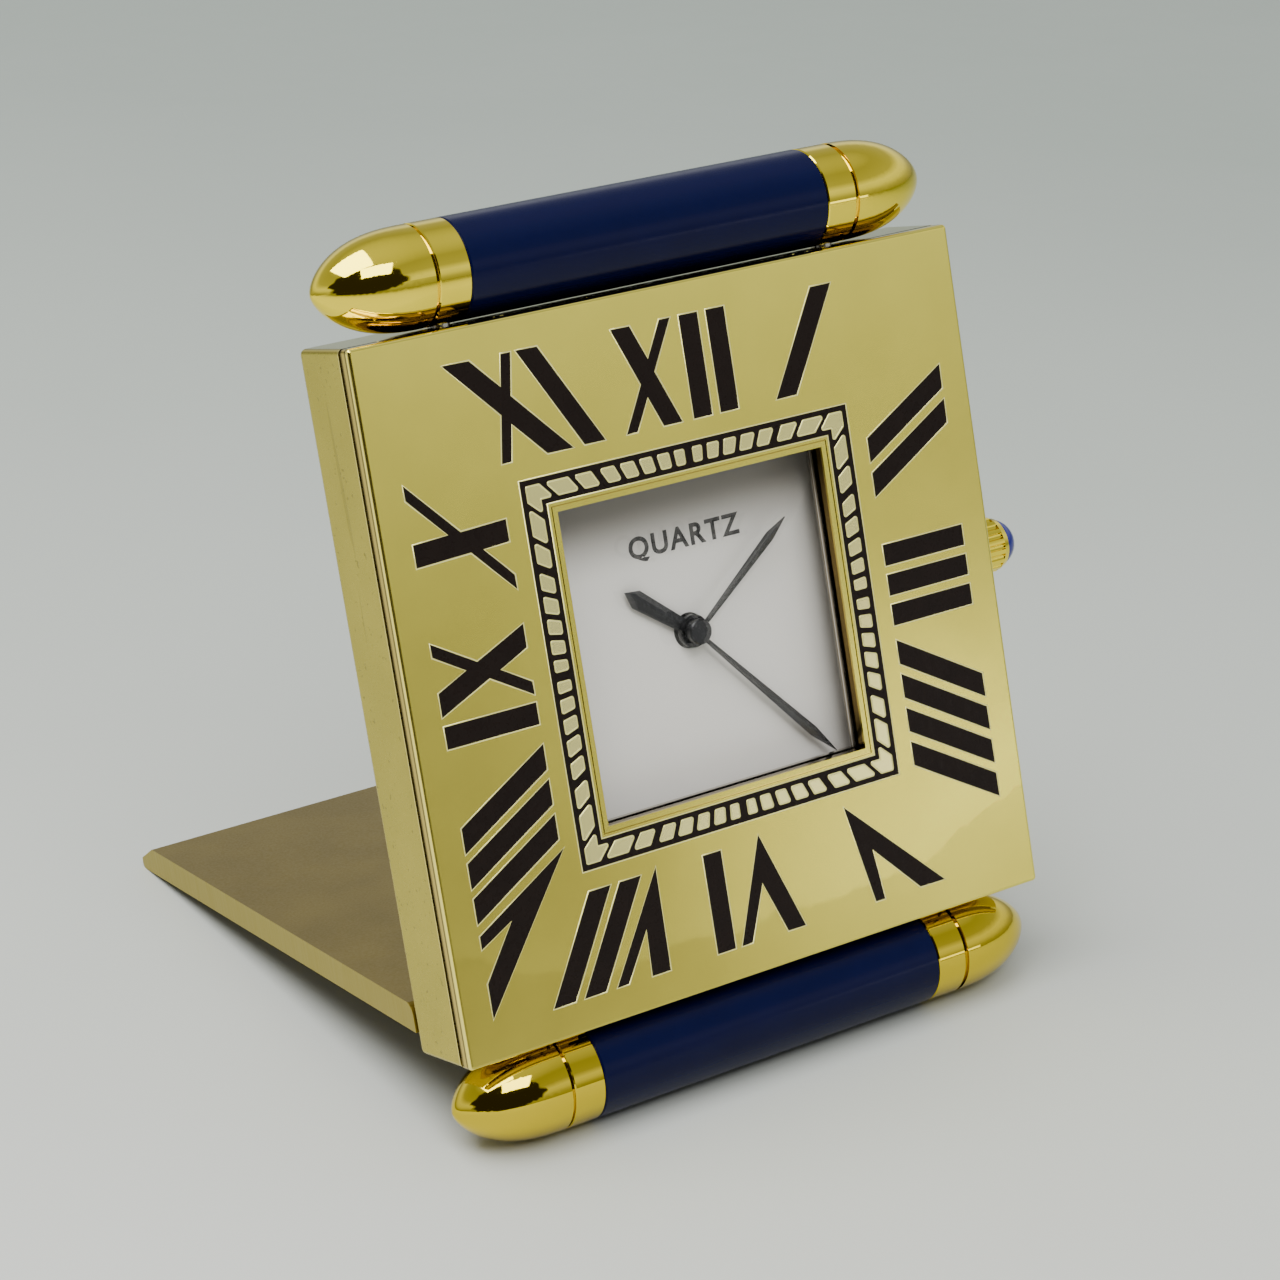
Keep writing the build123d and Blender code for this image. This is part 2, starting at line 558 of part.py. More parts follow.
def time_set_wheel():
    """A fluted disc sunk in the back, with its arbor and the pinion that turns the minute wheel."""
    flutes = Pos(*SET_AT) * Circle(4.0)
    for turn in range(24):
        x, z = polar(4.12, 15 * turn)
        flutes -= Pos(SET_AT[0] + x, SET_AT[1] + z) * Circle(0.28)
    wheel = slab(flutes, 8.6, DEPTH - 0.1)
    wheel -= slab(Pos(*SET_AT) * SlotOverall(5.0, 0.9), DEPTH - 0.5, DEPTH)
    wheel += disc(SET_AT, 0.6, 5.3, 8.6)
    return wheel + gear(SET_T, M_FINE, SET_AT, 5.42, 5.68, facing(SET_T, MINUTE_AT_ANGLE - 180))


def alarm_arbor():
    """The central arbor: alarm hand in front, contrate wheel behind."""
    teeth = Sketch()
    for tooth in range(CONTRATE_T):
        teeth += Rot(0, 0, 360 / CONTRATE_T * tooth) * Pos(CONTRATE_R, 0) * Rectangle(1.8, 0.26)
    wheel = slab(teeth, CROWN_Y + STEM_PITCH_R - 0.17, CROWN_Y + STEM_PITCH_R + 0.24)
    back = CROWN_Y + STEM_PITCH_R + 0.24
    wheel += disc((0, 0), CONTRATE_R + 0.9, back, back + 0.28)
    return wheel + disc((0, 0), 0.4, 2.7, BRIDGE_Y + BRIDGE_T) + disc((0, 0), 0.9, 7.0, back)


def sounder():
    return disc((9.5, -12.5), 7.5, 8.32, BACK_Y)


def movement_holder():
    holder = square(28.8, DIAL_Y + 0.3, BACK_Y, inner=20.2)
    for sx in (-1, 1):
        for sz in (-1, 1):
            holder -= slab(Pos(sx * 26.6, sz * 26.6) * Rectangle(5.0, 5.0), DIAL_Y, BACK_Y)
            low, high = sorted((sz * 26.6, sz * 29))
            holder -= block(sx * COLLAR_X - 2.4, sx * COLLAR_X + 2.4, DIAL_Y, ROLL_Y + 2.4, low, high)
    for at in PLATE_POST_AT:
        holder -= disc(at, 0.8, DIAL_Y, BACK_Y)
        holder -= disc(at, 1.5, 7.4, BACK_Y)
    holder -= block(20, 29, DIAL_Y, BACK_Y, -1.5, 1.5)
    return holder


def dial_spacer():
    return square(24.4, REHAUT_BACK - 1.1, DIAL_Y, inner=CAVITY_HANDS)


# ---- crown and alarm switch --------------------------------------------------------------------
CROWN_X = HALF + 0.3
SLIDER_X = 15.0


def crown():
    """Fluted grip and a smooth cone that holds the cabochon."""
    grip = Circle(CROWN_R)
    for turn in range(16):
        grip -= Rot(0, 0, 22.5 * turn) * Pos(CROWN_R + 0.12, 0) * Circle(0.34)
    outward = Plane(origin=(CROWN_X, CROWN_Y, 0), x_dir=(0, 1, 0), z_dir=(1, 0, 0))
    part = extrude(outward * grip, amount=CROWN_GRIP)
    end = CROWN_X + CROWN_GRIP
    part += Pos(end + 0.3, CROWN_Y, 0) * Rot(0, 90, 0) * Cone(CROWN_R - 0.05, CABOCHON_R + 0.12, 0.6)
    part -= rod_x(end + 0.1, end + 0.7, CROWN_Y, 0, CABOCHON_R)
    return part - rod_x(CROWN_X - 0.1, CROWN_X + 1.4, CROWN_Y, 0, 0.6)


def cabochon():
    """A low dome in the crown's seat."""
    radius, rise, seat = CABOCHON_R, CABOCHON_RISE, 0.5
    start = CROWN_X + CROWN_GRIP + 0.1
    ball = (radius ** 2 + rise ** 2) / (2 * rise)
    rim, top = start + seat, start + seat + rise
    half = 0.5 * asin(radius / ball)
    curve = ThreePointArc((rim, radius), (top - ball * (1 - cos(half)), ball * sin(half)), (top, 0))
    rest = Polyline((top, 0), (start, 0), (start, radius), (rim, radius))
    return Pos(0, CROWN_Y, 0) * revolve(make_face([curve, rest]), Axis.X)


def crown_stem():
    along = Plane(origin=(6.2, CROWN_Y, 0), x_dir=(0, 1, 0), z_dir=(1, 0, 0))
    pitch = 2 * pi / STEM_T
    outline = []
    for tooth in range(STEM_T):
        for radius, share in ((0.62, -0.2), (1.08, -0.1), (1.08, 0.1), (0.62, 0.2)):
            angle = (tooth + 0.5 + share) * pitch
            outline.append((radius * cos(angle), radius * sin(angle)))
    stem = extrude(along * Polygon(*outline, align=None), amount=1.8)
    stem += rod_x(8.0, CROWN_X + 1.4, CROWN_Y, 0, 0.6)
    around = rod_x(SLIDER_X, SLIDER_X + 0.6, CROWN_Y, 0, 0.7)
    return stem - (around - rod_x(SLIDER_X, SLIDER_X + 0.6, CROWN_Y, 0, 0.35))


def crown_tube():
    tube = rod_x(CAVITY - 1.2, HALF + 0.2, CROWN_Y, 0, 1.3)
    return tube - rod_x(CAVITY - 1.3, HALF + 0.3, CROWN_Y, 0, 0.65)


def alarm_slider():
    """Rides in the stem's groove and slides on the main plate with it."""
    fork = block(SLIDER_X + 0.05, SLIDER_X + 0.55, 6.5, 7.6, -2.9, 1.1)
    fork -= block(SLIDER_X, SLIDER_X + 0.6, 5.5, CROWN_Y + 0.38, -0.38, 0.38)
    fork -= rod_x(SLIDER_X, SLIDER_X + 0.6, CROWN_Y, 0, 0.38)
    foot = block(SLIDER_X - 1.5, SLIDER_X + 2.0, 6.5, 7.0, -3.2, -1.6)
    return fork + foot


def detent_spring():
    """A leaf held to the main plate that leans on the slider's foot."""
    leaf = block(SLIDER_X - 4.5, SLIDER_X + 1.5, 6.45, 7.1, -3.6, -3.4)
    return leaf + block(SLIDER_X - 5.5, SLIDER_X - 4.5, 6.45, 7.1, -4.6, -3.4)


# ---- assembly ----------------------------------------------------------------------------------
def build():
    hours, cells = hours_sketch(), track_cells()
    track = Rectangle(2 * TRACK_OUT, 2 * TRACK_OUT) - Rectangle(2 * TRACK_IN, 2 * TRACK_IN) - cells
    pieces = {
        "front_plate": front_plate(hours, track),
        "hour_enamel": slab(hours, 0.02, ENAMEL),
        "track_enamel": slab(track, 0.02, ENAMEL),
        "crystal": square(SEAT - 0.5, CRYSTAL_Y, CRYSTAL_Y + CRYSTAL_T),
        "crystal_gasket": square(SEAT, CRYSTAL_Y, CRYSTAL_Y + CRYSTAL_T, inner=SEAT - 0.5),
        "rehaut": square(SEAT, CRYSTAL_Y + CRYSTAL_T, REHAUT_BACK, inner=WINDOW),
        "case_body": case_body(),
        "back_plate": back_plate(),
        "back_screws": Compound([screw(at, 1.6, DEPTH - 0.05, 0.5, 0.8, 5.5) for at in BACK_SCREW_AT]),
        "plate_screws": Compound([screw(at, 1.4, 8.2, 0.8, 0.75, 2.4) for at in PLATE_POST_AT]),
        "dial": dial(),
        "dial_spacer": dial_spacer(),
        "hour_hand": hand(HOUR_ANGLE, HOUR_REACH, 1.55, 1.2, 3.85, 1.2, 1.8),
        "minute_hand": hand(MINUTE_ANGLE, MINUTE_REACH, 1.15, 0.75, 3.3, 0.36, 1.0),
        "alarm_hand": hand(ALARM_ANGLE, ALARM_REACH, 1.2, 0.4, 2.8, 0.4, 1.0) + hub_cap(1.2, 2.7),
        "movement_holder": movement_holder(),
        "main_plate": main_plate(),
        "train_bridge": train_bridge(),
        "bridge_screws": bridge_screws(),
        "centre_wheel": centre_wheel(),
        "hour_wheel": hour_wheel(),
        "minute_wheel": minute_wheel(),
        "intermediate_wheel": intermediate_wheel(),
        "rotor": rotor(),
        "stator": stator(),
        "coil_core": coil_core(),
        "drive_coil": drive_coil(),
        "circuit_board": circuit_board(),
        "resonator_can": resonator(),
        "button_cell": button_cell(),
        "cell_contacts": cell_contacts(),
        "battery_hatch": battery_hatch(),
        "hatch_seal": hatch_seal(),
        "sounder_disc": sounder(),
        "time_set_wheel": time_set_wheel(),
        "alarm_arbor": alarm_arbor(),
        "crown": crown(),
        "crown_cabochon": cabochon(),
        "crown_stem": crown_stem(),
        "crown_tube": crown_tube(),
        "alarm_slider": alarm_slider(),
        "detent_spring": detent_spring(),
        "stand_flap": stand_flap(),
        "hinge_pins": hinge_pins(),
        "hinge_lug_left": hinge_lug(-1),
        "hinge_lug_right": hinge_lug(1),
    }
    for sign, row in ((1, "upper"), (-1, "lower")):
        pieces[f"{row}_roll_barrel"] = roll_barrel(sign)
        pieces[f"{row}_tie_rod"] = tie_rod(sign)
        pieces[f"{row}_roll_screws"] = roll_screws(sign)
        for side, hand_side in ((-1, "left"), (1, "right")):
            pieces[f"{row}_{hand_side}_collar"] = roll_collar(side, sign)
            pieces[f"{row}_{hand_side}_cap"] = roll_cap(side, sign)
    return pieces


def lean_angle():
    """How far the case leans back, standing on the lower roll and the flap's rounded free edge."""
    reach, out = FLAP_REACH - FLAP_ROUND, FLAP_T / 2 - FLAP_ROUND
    tilt = radians(FLAP_OPEN)
    foot_y = HINGE_Y + reach * sin(tilt) + out * cos(tilt)
    foot_z = HINGE_Z + reach * cos(tilt) - out * sin(tilt)
    run, rise = foot_y - ROLL_Y, foot_z + ROLL_Z
    return degrees(atan2(rise, run) + asin((ROLL_R - FLAP_ROUND) / hypot(run, rise)))


def stand_up(pieces):
    """Leans every piece back and sets the whole on z = 0, centred on its own footprint."""
    lean = Rot(-lean_angle(), 0, 0)
    whole = {name: Compound(list(piece)) if isinstance(piece, list) else piece
             for name, piece in pieces.items()}
    leaned = {name: piece.moved(lean) for name, piece in whole.items()}
    box = Compound(list(leaned.values())).bounding_box()
    shift = Pos(-(box.min.X + box.max.X) / 2, -(box.min.Y + box.max.Y) / 2, -box.min.Z)
    return {name: piece.moved(shift) for name, piece in leaned.items()}, shift * lean


def main():
    os.makedirs("parts", exist_ok=True)
    placed, place = stand_up(build())
    for name, piece in placed.items():
        export_step(piece, f"parts/{name}.step")
    print("lean", round(lean_angle(), 3))
    for label, point in (("dial axis", (0, 0, 0)), ("hinge axis", (0, HINGE_Y, HINGE_Z)),
                         ("minute wheel", (MINUTE_AT[0], 0, MINUTE_AT[1])),
                         ("intermediate wheel", (INTER_AT[0], 0, INTER_AT[1])),
                         ("rotor", (ROTOR_AT[0], 0, ROTOR_AT[1])), ("time set", (SET_AT[0], 0, SET_AT[1])),
                         ("hatch", (CELL_AT[0], 0, CELL_AT[1])), ("crown", (CROWN_X, CROWN_Y, 0))):
        at = (place * Pos(*point)).position
        print(label, round(at.X, 4), round(at.Y, 4), round(at.Z, 4))


main()
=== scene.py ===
import json
import math

import bmesh
import bpy
from mathutils import Matrix, Quaternion, Vector


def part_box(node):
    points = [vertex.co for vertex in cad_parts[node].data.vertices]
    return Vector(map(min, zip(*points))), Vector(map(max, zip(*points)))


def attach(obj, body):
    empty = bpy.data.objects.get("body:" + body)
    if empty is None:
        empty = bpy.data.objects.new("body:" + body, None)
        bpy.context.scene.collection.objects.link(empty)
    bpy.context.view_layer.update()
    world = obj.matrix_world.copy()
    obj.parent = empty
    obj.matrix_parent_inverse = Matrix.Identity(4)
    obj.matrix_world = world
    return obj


MM = 0.001

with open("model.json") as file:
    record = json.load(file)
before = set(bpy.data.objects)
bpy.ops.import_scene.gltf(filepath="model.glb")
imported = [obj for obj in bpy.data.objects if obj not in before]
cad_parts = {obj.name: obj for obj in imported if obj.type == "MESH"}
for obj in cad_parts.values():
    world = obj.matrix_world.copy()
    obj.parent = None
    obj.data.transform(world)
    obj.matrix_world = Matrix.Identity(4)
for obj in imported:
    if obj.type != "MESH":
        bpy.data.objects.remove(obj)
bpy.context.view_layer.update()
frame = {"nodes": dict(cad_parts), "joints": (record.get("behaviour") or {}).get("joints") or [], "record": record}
nodes = frame["nodes"]


# ---- places in the case's own frame ------------------------------------------------------------
def joint(name):
    return next(j for j in frame["joints"] if j["name"] == name)


MINUTE = joint("minute_turn")
DIAL_CENTRE = Vector(MINUTE["pos_m"])          # on the front face, in the hands' axis
INWARD = Vector(MINUTE["axis"]).normalized()   # from the front face into the case
ACROSS = Vector((1, 0, 0))
UP_DIAL = ACROSS.cross(INWARD)
CASE_FRAME = Matrix((
    (ACROSS.x, INWARD.x, UP_DIAL.x, DIAL_CENTRE.x),
    (ACROSS.y, INWARD.y, UP_DIAL.y, DIAL_CENTRE.y),
    (ACROSS.z, INWARD.z, UP_DIAL.z, DIAL_CENTRE.z),
    (0, 0, 0, 1),
))
LEAN = math.asin(-INWARD.z)
CASE_ORIGIN = Matrix.Rotation(LEAN, 3, "X") @ DIAL_CENTRE / MM

# Places on the clock, in millimetres across or up the dial and into the case.
HALF_CASE = (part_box("front_plate")[1].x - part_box("front_plate")[0].x) / 2 / MM
WINDOW_EDGE = 15.4                    # between the window's wall and the plate's outer edge
TRACK_IN, TRACK_OUT = 15.9, 17.6      # the minute track's cells
PLATE_FACE = 0.06                     # depth at which the plate's edges and walls begin
CASE_FRONT = 1.86
BEHIND_DIAL = 5.35
BELOW_CASE, LOWER_ROLL = -28.0, -36.0


def in_case(x, y, z):
    """A point given in millimetres across the dial, into the case and up the dial."""
    return CASE_FRAME @ Vector((x * MM, y * MM, z * MM))


# ---- node trees --------------------------------------------------------------------------------
class NodeTree:
    """Short-hands for building a material's or the world's node tree."""

    def __init__(self, tree):
        self.tree = tree

    def link(self, source, target):
        self.tree.links.new(source, target)

    def node(self, kind, **settings):
        made = self.tree.nodes.new(kind)
        for key, value in settings.items():
            setattr(made, key, value)
        return made

    def fill(self, socket, value):
        """A socket takes a link, a number or a colour."""
        if isinstance(value, tuple):
            socket.default_value = (*value, 1)
        elif isinstance(value, (int, float)):
            socket.default_value = value
        else:
            self.link(value, socket)

    def split(self, vector):
        made = self.node("ShaderNodeSeparateXYZ")
        self.link(vector, made.inputs["Vector"])
        return made.outputs

    def remap(self, value, low, high, to_low, to_high, steps="LINEAR"):
        made = self.node("ShaderNodeMapRange", interpolation_type=steps)
        made.inputs["From Min"].default_value = low
        made.inputs["From Max"].default_value = high
        made.inputs["To Min"].default_value = to_low
        made.inputs["To Max"].default_value = to_high
        self.link(value, made.inputs["Value"])
        return made.outputs["Result"]

    def maths(self, operation, a, b):
        made = self.node("ShaderNodeMath", operation=operation)
        for socket, value in zip(made.inputs, (a, b)):
            self.fill(socket, value)
        return made.outputs["Value"]

    def add(self, *values):
        total = values[0]
        for value in values[1:]:
            total = self.maths("ADD", total, value)
        return total

    def times(self, a, b):
        return self.maths("MULTIPLY", a, b)

    def size_of(self, value):
        return self.maths("ABSOLUTE", value, 0)

    def above(self, value, limit, soft):
        """1 where a value is over a limit and 0 where it is under, with a soft step between."""
        return self.remap(value, limit - soft, limit + soft, 0, 1)

    def below(self, value, limit, soft):
        return self.above(self.maths("SUBTRACT", 0, value), -limit, soft)

    def blend(self, kind, factor, first, second):
        """A number (FLOAT) or a colour (RGBA) that goes from the first to the second."""
        made = self.node("ShaderNodeMix", data_type=kind)
        self.link(factor, made.inputs["Factor"])
        self.fill(made.inputs["A"], first)
        self.fill(made.inputs["B"], second)
        return made.outputs["Result"]

    def tint(self, factor, first, second):
        return self.blend("RGBA", factor, first, second)


NOISE_ROUGHNESS = 0.55
FINE_LOW, FINE_HIGH = 0.3, 0.7          # the span that a detailed noise really covers
CLOUD_LOW, CLOUD_HIGH = 0.35, 0.65      # and a broad one


class Shader(NodeTree):
    """A Principled material whose noises and places are in the case's frame."""

    def __init__(self, name, metallic=0.0):
        self.material = bpy.data.materials.new(name)
        self.material.use_nodes = True
        super().__init__(self.material.node_tree)
        self.bsdf = self.tree.nodes["Principled BSDF"]
        self.coords = self.node("ShaderNodeTexCoord").outputs["Object"]
        self.set("Metallic", metallic)

    def set(self, name, value):
        self.bsdf.inputs[name].default_value = value

    def case_coords(self, stretch=(1, 1, 1)):
        """Object coordinates turned into the case's frame, in millimetres, then stretched."""
        turned = self.node("ShaderNodeMapping")
        turned.inputs["Rotation"].default_value = (LEAN, 0, 0)
        scaled = self.node("ShaderNodeMapping")
        scaled.inputs["Scale"].default_value = [s / MM for s in stretch]
        self.link(self.coords, turned.inputs["Vector"])
        self.link(turned.outputs["Vector"], scaled.inputs["Vector"])
        return scaled.outputs["Vector"]

    def case_place(self):
        """Sockets for the place across the dial, into the case and up the dial, in millimetres."""
        split = self.split(self.case_coords())
        return [self.maths("SUBTRACT", split[axis], place) for axis, place in zip("XYZ", CASE_ORIGIN)]

    def noise(self, scale, detail=4.0, stretch=(1, 1, 1)):
        made = self.node("ShaderNodeTexNoise")
        made.inputs["Scale"].default_value = scale
        made.inputs["Detail"].default_value = detail
        made.inputs["Roughness"].default_value = NOISE_ROUGHNESS
        self.link(self.case_coords(stretch), made.inputs["Vector"])
        return made.outputs["Fac"]

    def cloud(self, low=0, high=1, scale=0.12):
        """Broad soft patches."""
        return self.remap(self.noise(scale, 3.0), CLOUD_LOW, CLOUD_HIGH, low, high)

    def colour(self, socket):
        self.link(socket, self.bsdf.inputs["Base Color"])

    def roughness(self, socket):
        self.link(socket, self.bsdf.inputs["Roughness"])

    def gloss(self, grain, smoothest, roughest):
        self.roughness(self.remap(grain, FINE_LOW, FINE_HIGH, smoothest, roughest))

    def bump(self, height, strength, distance):
        made = self.node("ShaderNodeBump")
        made.inputs["Strength"].default_value = strength
        made.inputs["Distance"].default_value = distance * MM
        self.link(height, made.inputs["Height"])
        self.link(made.outputs["Normal"], self.bsdf.inputs["Normal"])


# ---- gilt --------------------------------------------------------------------------------------
# Painted light on the plate's face: its gilt runs between a shaded and a lit end, and is painted lighter per
# millimetre to the right and to the top.
FACE_SHADED_GILT, FACE_LIT_GILT = (0.50, 0.42, 0.066), (1.0, 0.87, 0.135)
FACE_LEVEL, ACROSS_GAIN, UP_GAIN = 0.58, 0.0037, 0.0099     # share of the light gilt, per millimetre
CELL_GILT = (1.0, 0.92, 0.40)
# The window wall's gilt at its lip, then painted shade deeper in.
WALL_LIP, WALL_DEEP_SHADE = (0.55, 0.42, 0.08), (0.14, 0.09, 0.02)
# A painted highlight along the plate's front edge, then bands of painted dark and gold reflection down its sides.
EDGE_PAINTED_HIGHLIGHT = (0.98, 0.84, 0.20)
EDGE_PAINTED_REFLECTIONS = (                                            # depth where each begins
    (0.36, (0.20, 0.15, 0.03)),
    (0.62, (0.62, 0.47, 0.09)),
    (1.08, (0.22, 0.16, 0.03)),
)


def plate_sheen(s, across, up):
    """The pale reflection along the bottom of the face, which rises towards both corners."""
    corner_drop = s.remap(s.size_of(across), 19.0, 31.0, 0, 5.0)
    waves = s.remap(s.noise(0.12), FINE_LOW, FINE_HIGH, -0.8, 0.8)
    rise = s.maths("SUBTRACT", s.add(up, waves), corner_drop)
    band = s.times(s.remap(rise, -27.7, -27.2, 0, 1), s.remap(rise, -26.0, -18.5, 1, 0))
    return s.times(band, s.remap(across, -26.0, 20.0, 0.14, 0.42))


def plate_face(s, across, up, from_axis):
    """Painted light and shade: lighter to the top and right, darker low on the left, with the painted reflection
    along the bottom; palest in the track's cells.
    """
    painted_light_right = s.add(s.times(across, ACROSS_GAIN), FACE_LEVEL)
    painted_light_top = s.times(s.maths("MAXIMUM", up, 0), UP_GAIN)
    painted_shade_low_left = s.times(s.remap(up, -30.0, -4.0, -0.42, 0), s.remap(across, -12.0, 22.0, 1, 0))
    # the level mixes random tone with painted light, painted shade and the painted reflection along the bottom
    level = s.add(painted_light_right, painted_light_top, s.cloud(-0.05, 0.05), painted_shade_low_left, plate_sheen(s, across, up))
    on_track = s.times(s.above(from_axis, TRACK_IN, 0.1), s.below(from_axis, TRACK_OUT, 0.1))
    return s.tint(s.times(on_track, 0.75), s.tint(level, FACE_SHADED_GILT, FACE_LIT_GILT), CELL_GILT)


def plate_metal():
    """The front: hazy gilt on the face, polished on its edges and in the window, with bands of painted highlight
    and reflection by depth on its edges and painted shade deeper in the window's wall.
    """
    s = Shader("gilt_plate", metallic=1.0)
    across, depth, up = s.case_place()
    from_axis = s.maths("MAXIMUM", s.size_of(across), s.size_of(up))
    edge_reflections = EDGE_PAINTED_HIGHLIGHT
    for start, gilt in EDGE_PAINTED_REFLECTIONS:
        edge_reflections = s.tint(s.above(depth, start, 0.04), edge_reflections, gilt)
    wall = s.tint(s.above(depth, 0.30, 0.06), WALL_LIP, WALL_DEEP_SHADE)
    side = s.tint(s.above(from_axis, WINDOW_EDGE, 0.2), wall, edge_reflections)
    on_side = s.above(depth, PLATE_FACE, 0.03)
    s.colour(s.tint(on_side, plate_face(s, across, up, from_axis), side))
    fine = s.noise(5.0, 5.0)
    haze = s.remap(fine, FINE_LOW, FINE_HIGH, 0.18, 0.22)
    s.roughness(s.blend("FLOAT", on_side, haze, 0.09))
    s.bump(fine, 0.02, 0.02)
    return s.material


def case_metal():
    """Satin gilt with pits and long scratches, polished at the top, with a painted highlight along its front edge.
    """
    s = Shader("gilt_case", metallic=1.0)
    light, dark, stain, front_edge_highlight = (0.55, 0.455, 0.062), (0.50, 0.415, 0.054), 0.45, (0.95, 0.82, 0.25)
    fine = s.noise(3.0, 5.0)
    pits = s.remap(s.noise(1.6, 2.0), 0.29, 0.34, 1, 0)
    scratches = s.remap(s.noise(0.9, 1.0, (1, 1, 0.05)), 0.70, 0.72, 0, 1)
    worn = s.maths("MAXIMUM", pits, s.times(scratches, 0.5))
    clean = s.tint(s.cloud(scale=0.15), dark, light)
    stained = s.tint(s.times(worn, 0.6), clean, tuple(c * stain for c in dark))
    _, depth, up = s.case_place()
    # a painted highlight on the thin front strip of the body
    on_front_highlight = s.maths("SUBTRACT", 1.0, s.above(depth, CASE_FRONT, 0.05))
    s.colour(s.tint(on_front_highlight, stained, front_edge_highlight))
    polished = s.above(s.size_of(up), HALF_CASE - 0.25, 0.1)
    satin = s.remap(fine, FINE_LOW, FINE_HIGH, 0.25, 0.35)
    s.roughness(s.blend("FLOAT", polished, satin, 0.10))
    s.bump(s.maths("SUBTRACT", s.times(fine, 0.25), worn), 0.35, 0.02)
    return s.material


def flap_metal():
    """Brushed brown-gold faces between brighter edges."""
    s = Shader("gilt_flap", metallic=1.0)
    brushing = s.noise(4.0, 5.0, (1, 1, 0.06))
    face = s.tint(s.cloud(), (0.20, 0.145, 0.027), (0.235, 0.172, 0.033))
    across = s.case_place()[0]
    side = s.above(s.size_of(across), HALF_CASE - 0.06, 0.03)
    s.colour(s.tint(side, face, (0.40, 0.318, 0.060)))
    s.gloss(brushing, 0.30, 0.44)
    s.bump(brushing, 0.25, 0.02)
    return s.material


def mirror_gold():
    """Polished gilt, with painted shade making it a little browner on the lower roll."""
    s = Shader("gold_polished", metallic=1.0)
    up = s.case_place()[2]
    # painted shade: the lower roll's gilt is darker and browner
    lower = s.remap(up, BELOW_CASE, LOWER_ROLL, 0, 1)
    bright = s.tint(s.cloud(), (0.85, 0.675, 0.040), (0.90, 0.72, 0.050))
    s.colour(s.tint(lower, bright, (0.66, 0.50, 0.025)))
    fine = s.noise(6.0, 5.0)
    s.gloss(fine, 0.035, 0.065)
    s.bump(fine, 0.02, 0.02)
    return s.material


def rehaut():
    """The ring under the crystal: painted dark brown reflections with one fine painted bright reflection line."""
    s = Shader("rehaut_steel", metallic=1.0)
    depth = s.case_place()[1]
    # a painted reflection: one fine bright line part way down the ring
    line = s.times(s.above(depth, 2.05, 0.03), s.below(depth, 2.18, 0.03))
    dark = s.tint(s.noise(0.4), (0.20, 0.165, 0.11), (0.27, 0.23, 0.16))
    s.colour(s.tint(line, dark, (0.85, 0.83, 0.78)))
    fine = s.noise(4.0)
    s.gloss(fine, 0.09, 0.15)
    s.bump(fine, 0.05, 0.01)
    return s.material


# ---- lacquer, enamel, dial and the rest --------------------------------------------------------
def lacquer():
    s = Shader("navy_lacquer")
    s.set("Specular IOR Level", 0.13)
    s.colour(s.tint(s.noise(0.25, 3.0), (0.0010, 0.0020, 0.024), (0.0015, 0.0028, 0.032)))
    s.gloss(s.noise(1.2), 0.16, 0.24)
    s.bump(s.noise(2.5, 5.0), 0.05, 0.02)
    return s.material


def enamel():
    s = Shader("black_enamel")
    s.set("Specular IOR Level", 0.12)
    s.colour(s.tint(s.noise(0.6), (0.007, 0.004, 0.003), (0.012, 0.007, 0.005)))
    s.gloss(s.noise(1.5), 0.22, 0.36)
    s.bump(s.noise(1.2, 3.0), 0.12, 0.03)
    return s.material


def dial_paint():
    """Pale paint, shaded along the top and the right, where the window's deep wall stands over it."""
    s = Shader("dial_paint")
    across, _, up = s.case_place()
    paint = s.tint(s.noise(9.0, 3.0), (0.81, 0.785, 0.73), (0.87, 0.845, 0.785))
    under_top = s.remap(up, 6.3, 12.6, 0, 0.90, steps="SMOOTHSTEP")
    under_side = s.remap(across, 12.2, 17.0, 0, 0.92, steps="SMOOTHSTEP")
    s.colour(s.tint(s.maths("MAXIMUM", under_top, under_side), paint, (0.22, 0.20, 0.17)))
    s.gloss(s.noise(3.0), 0.45, 0.6)
    s.bump(s.noise(14.0, 2.0), 0.06, 0.01)
    return s.material


def crystal():
    s = Shader("crystal")
    s.set("Base Color", (1, 1, 1, 1))
    s.set("Roughness", 0.0)
    s.set("IOR", 1.45)
    s.set("Transmission Weight", 1.0)
    s.set("Alpha", 0.06)
    return s.material


def plain(name, colour, rough, metallic=0.0, swing=0.06):
    """One colour, a little mottled."""
    s = Shader(name, metallic)
    s.colour(s.tint(s.noise(0.8), tuple(c * 0.85 for c in colour), colour))
    s.gloss(s.noise(4.0), rough - swing, rough + swing)
    s.bump(s.noise(5.0), 0.05, 0.01)
    return s.material


def works_brass():
    """Brass wheels whose pipes are blackened where they stand in front of the dial."""
    s = Shader("wheel_brass", metallic=1.0)
    brass = s.tint(s.noise(0.8), (0.60, 0.44, 0.19), (0.70, 0.52, 0.22))
    depth = s.case_place()[1]
    s.colour(s.tint(s.above(depth, BEHIND_DIAL, 0.02), (0.03, 0.03, 0.03), brass))
    s.gloss(s.noise(4.0), 0.24, 0.36)
    s.bump(s.noise(5.0), 0.05, 0.01)
    return s.material


